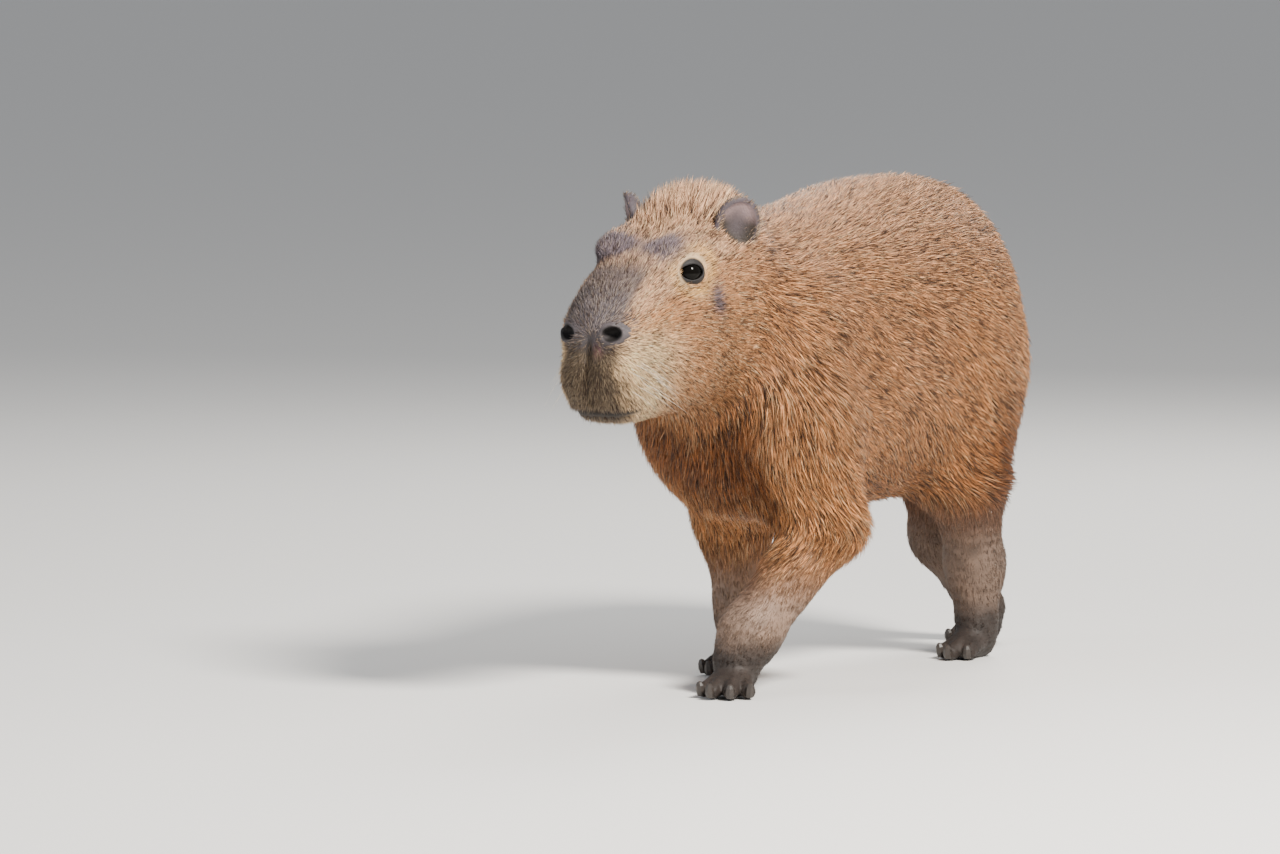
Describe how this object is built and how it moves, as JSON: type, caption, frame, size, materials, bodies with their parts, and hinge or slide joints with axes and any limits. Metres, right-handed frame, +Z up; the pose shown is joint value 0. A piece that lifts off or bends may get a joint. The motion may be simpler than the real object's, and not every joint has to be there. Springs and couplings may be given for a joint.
{
  "type": "capybara figure",
  "caption": "Life-size still model of an adult capybara walking, with a short bristly red-brown coat, grey muzzle and ears, and dark blunt claws.",
  "frame": {"origin": "on the floor under the centre of the bounding box", "axes": "+Z up, +Y from the nose towards the rump, +X towards the animal's left side"},
  "size_m": [0.3254, 0.907, 0.5597],
  "materials": {
    "coat": "short coarse fur, matte",
    "face": "very short fur, matte",
    "lower_leg": "very short thin fur over grey skin, matte",
    "ear": "bare skin with short hairs",
    "eye": "wet gloss",
    "claw": "dull horn"
  },
  "bodies": {
    "root": {"ear_left": "ear", "ear_right": "ear", "eye_left": "eye", "eye_right": "eye", "fore_left_claw_1": "claw", "fore_left_claw_2": "claw", "fore_left_claw_3": "claw", "fore_left_claw_4": "claw", "fore_left_foot": "lower_leg", "fore_left_lower": "lower_leg", "fore_left_upper": "coat", "fore_right_claw_1": "claw", "fore_right_claw_2": "claw", "fore_right_claw_3": "claw", "fore_right_claw_4": "claw", "fore_right_foot": "lower_leg", "fore_right_lower": "lower_leg", "fore_right_upper": "coat", "head": "face", "hind_left_claw_1": "claw", "hind_left_claw_2": "claw", "hind_left_claw_3": "claw", "hind_left_foot": "lower_leg", "hind_left_lower": "lower_leg", "hind_left_upper": "coat", "hind_right_claw_1": "claw", "hind_right_claw_2": "claw", "hind_right_claw_3": "claw", "hind_right_foot": "lower_leg", "hind_right_lower": "lower_leg", "hind_right_upper": "coat", "neck": "coat", "torso": "coat"}
  },
  "joints": []
}
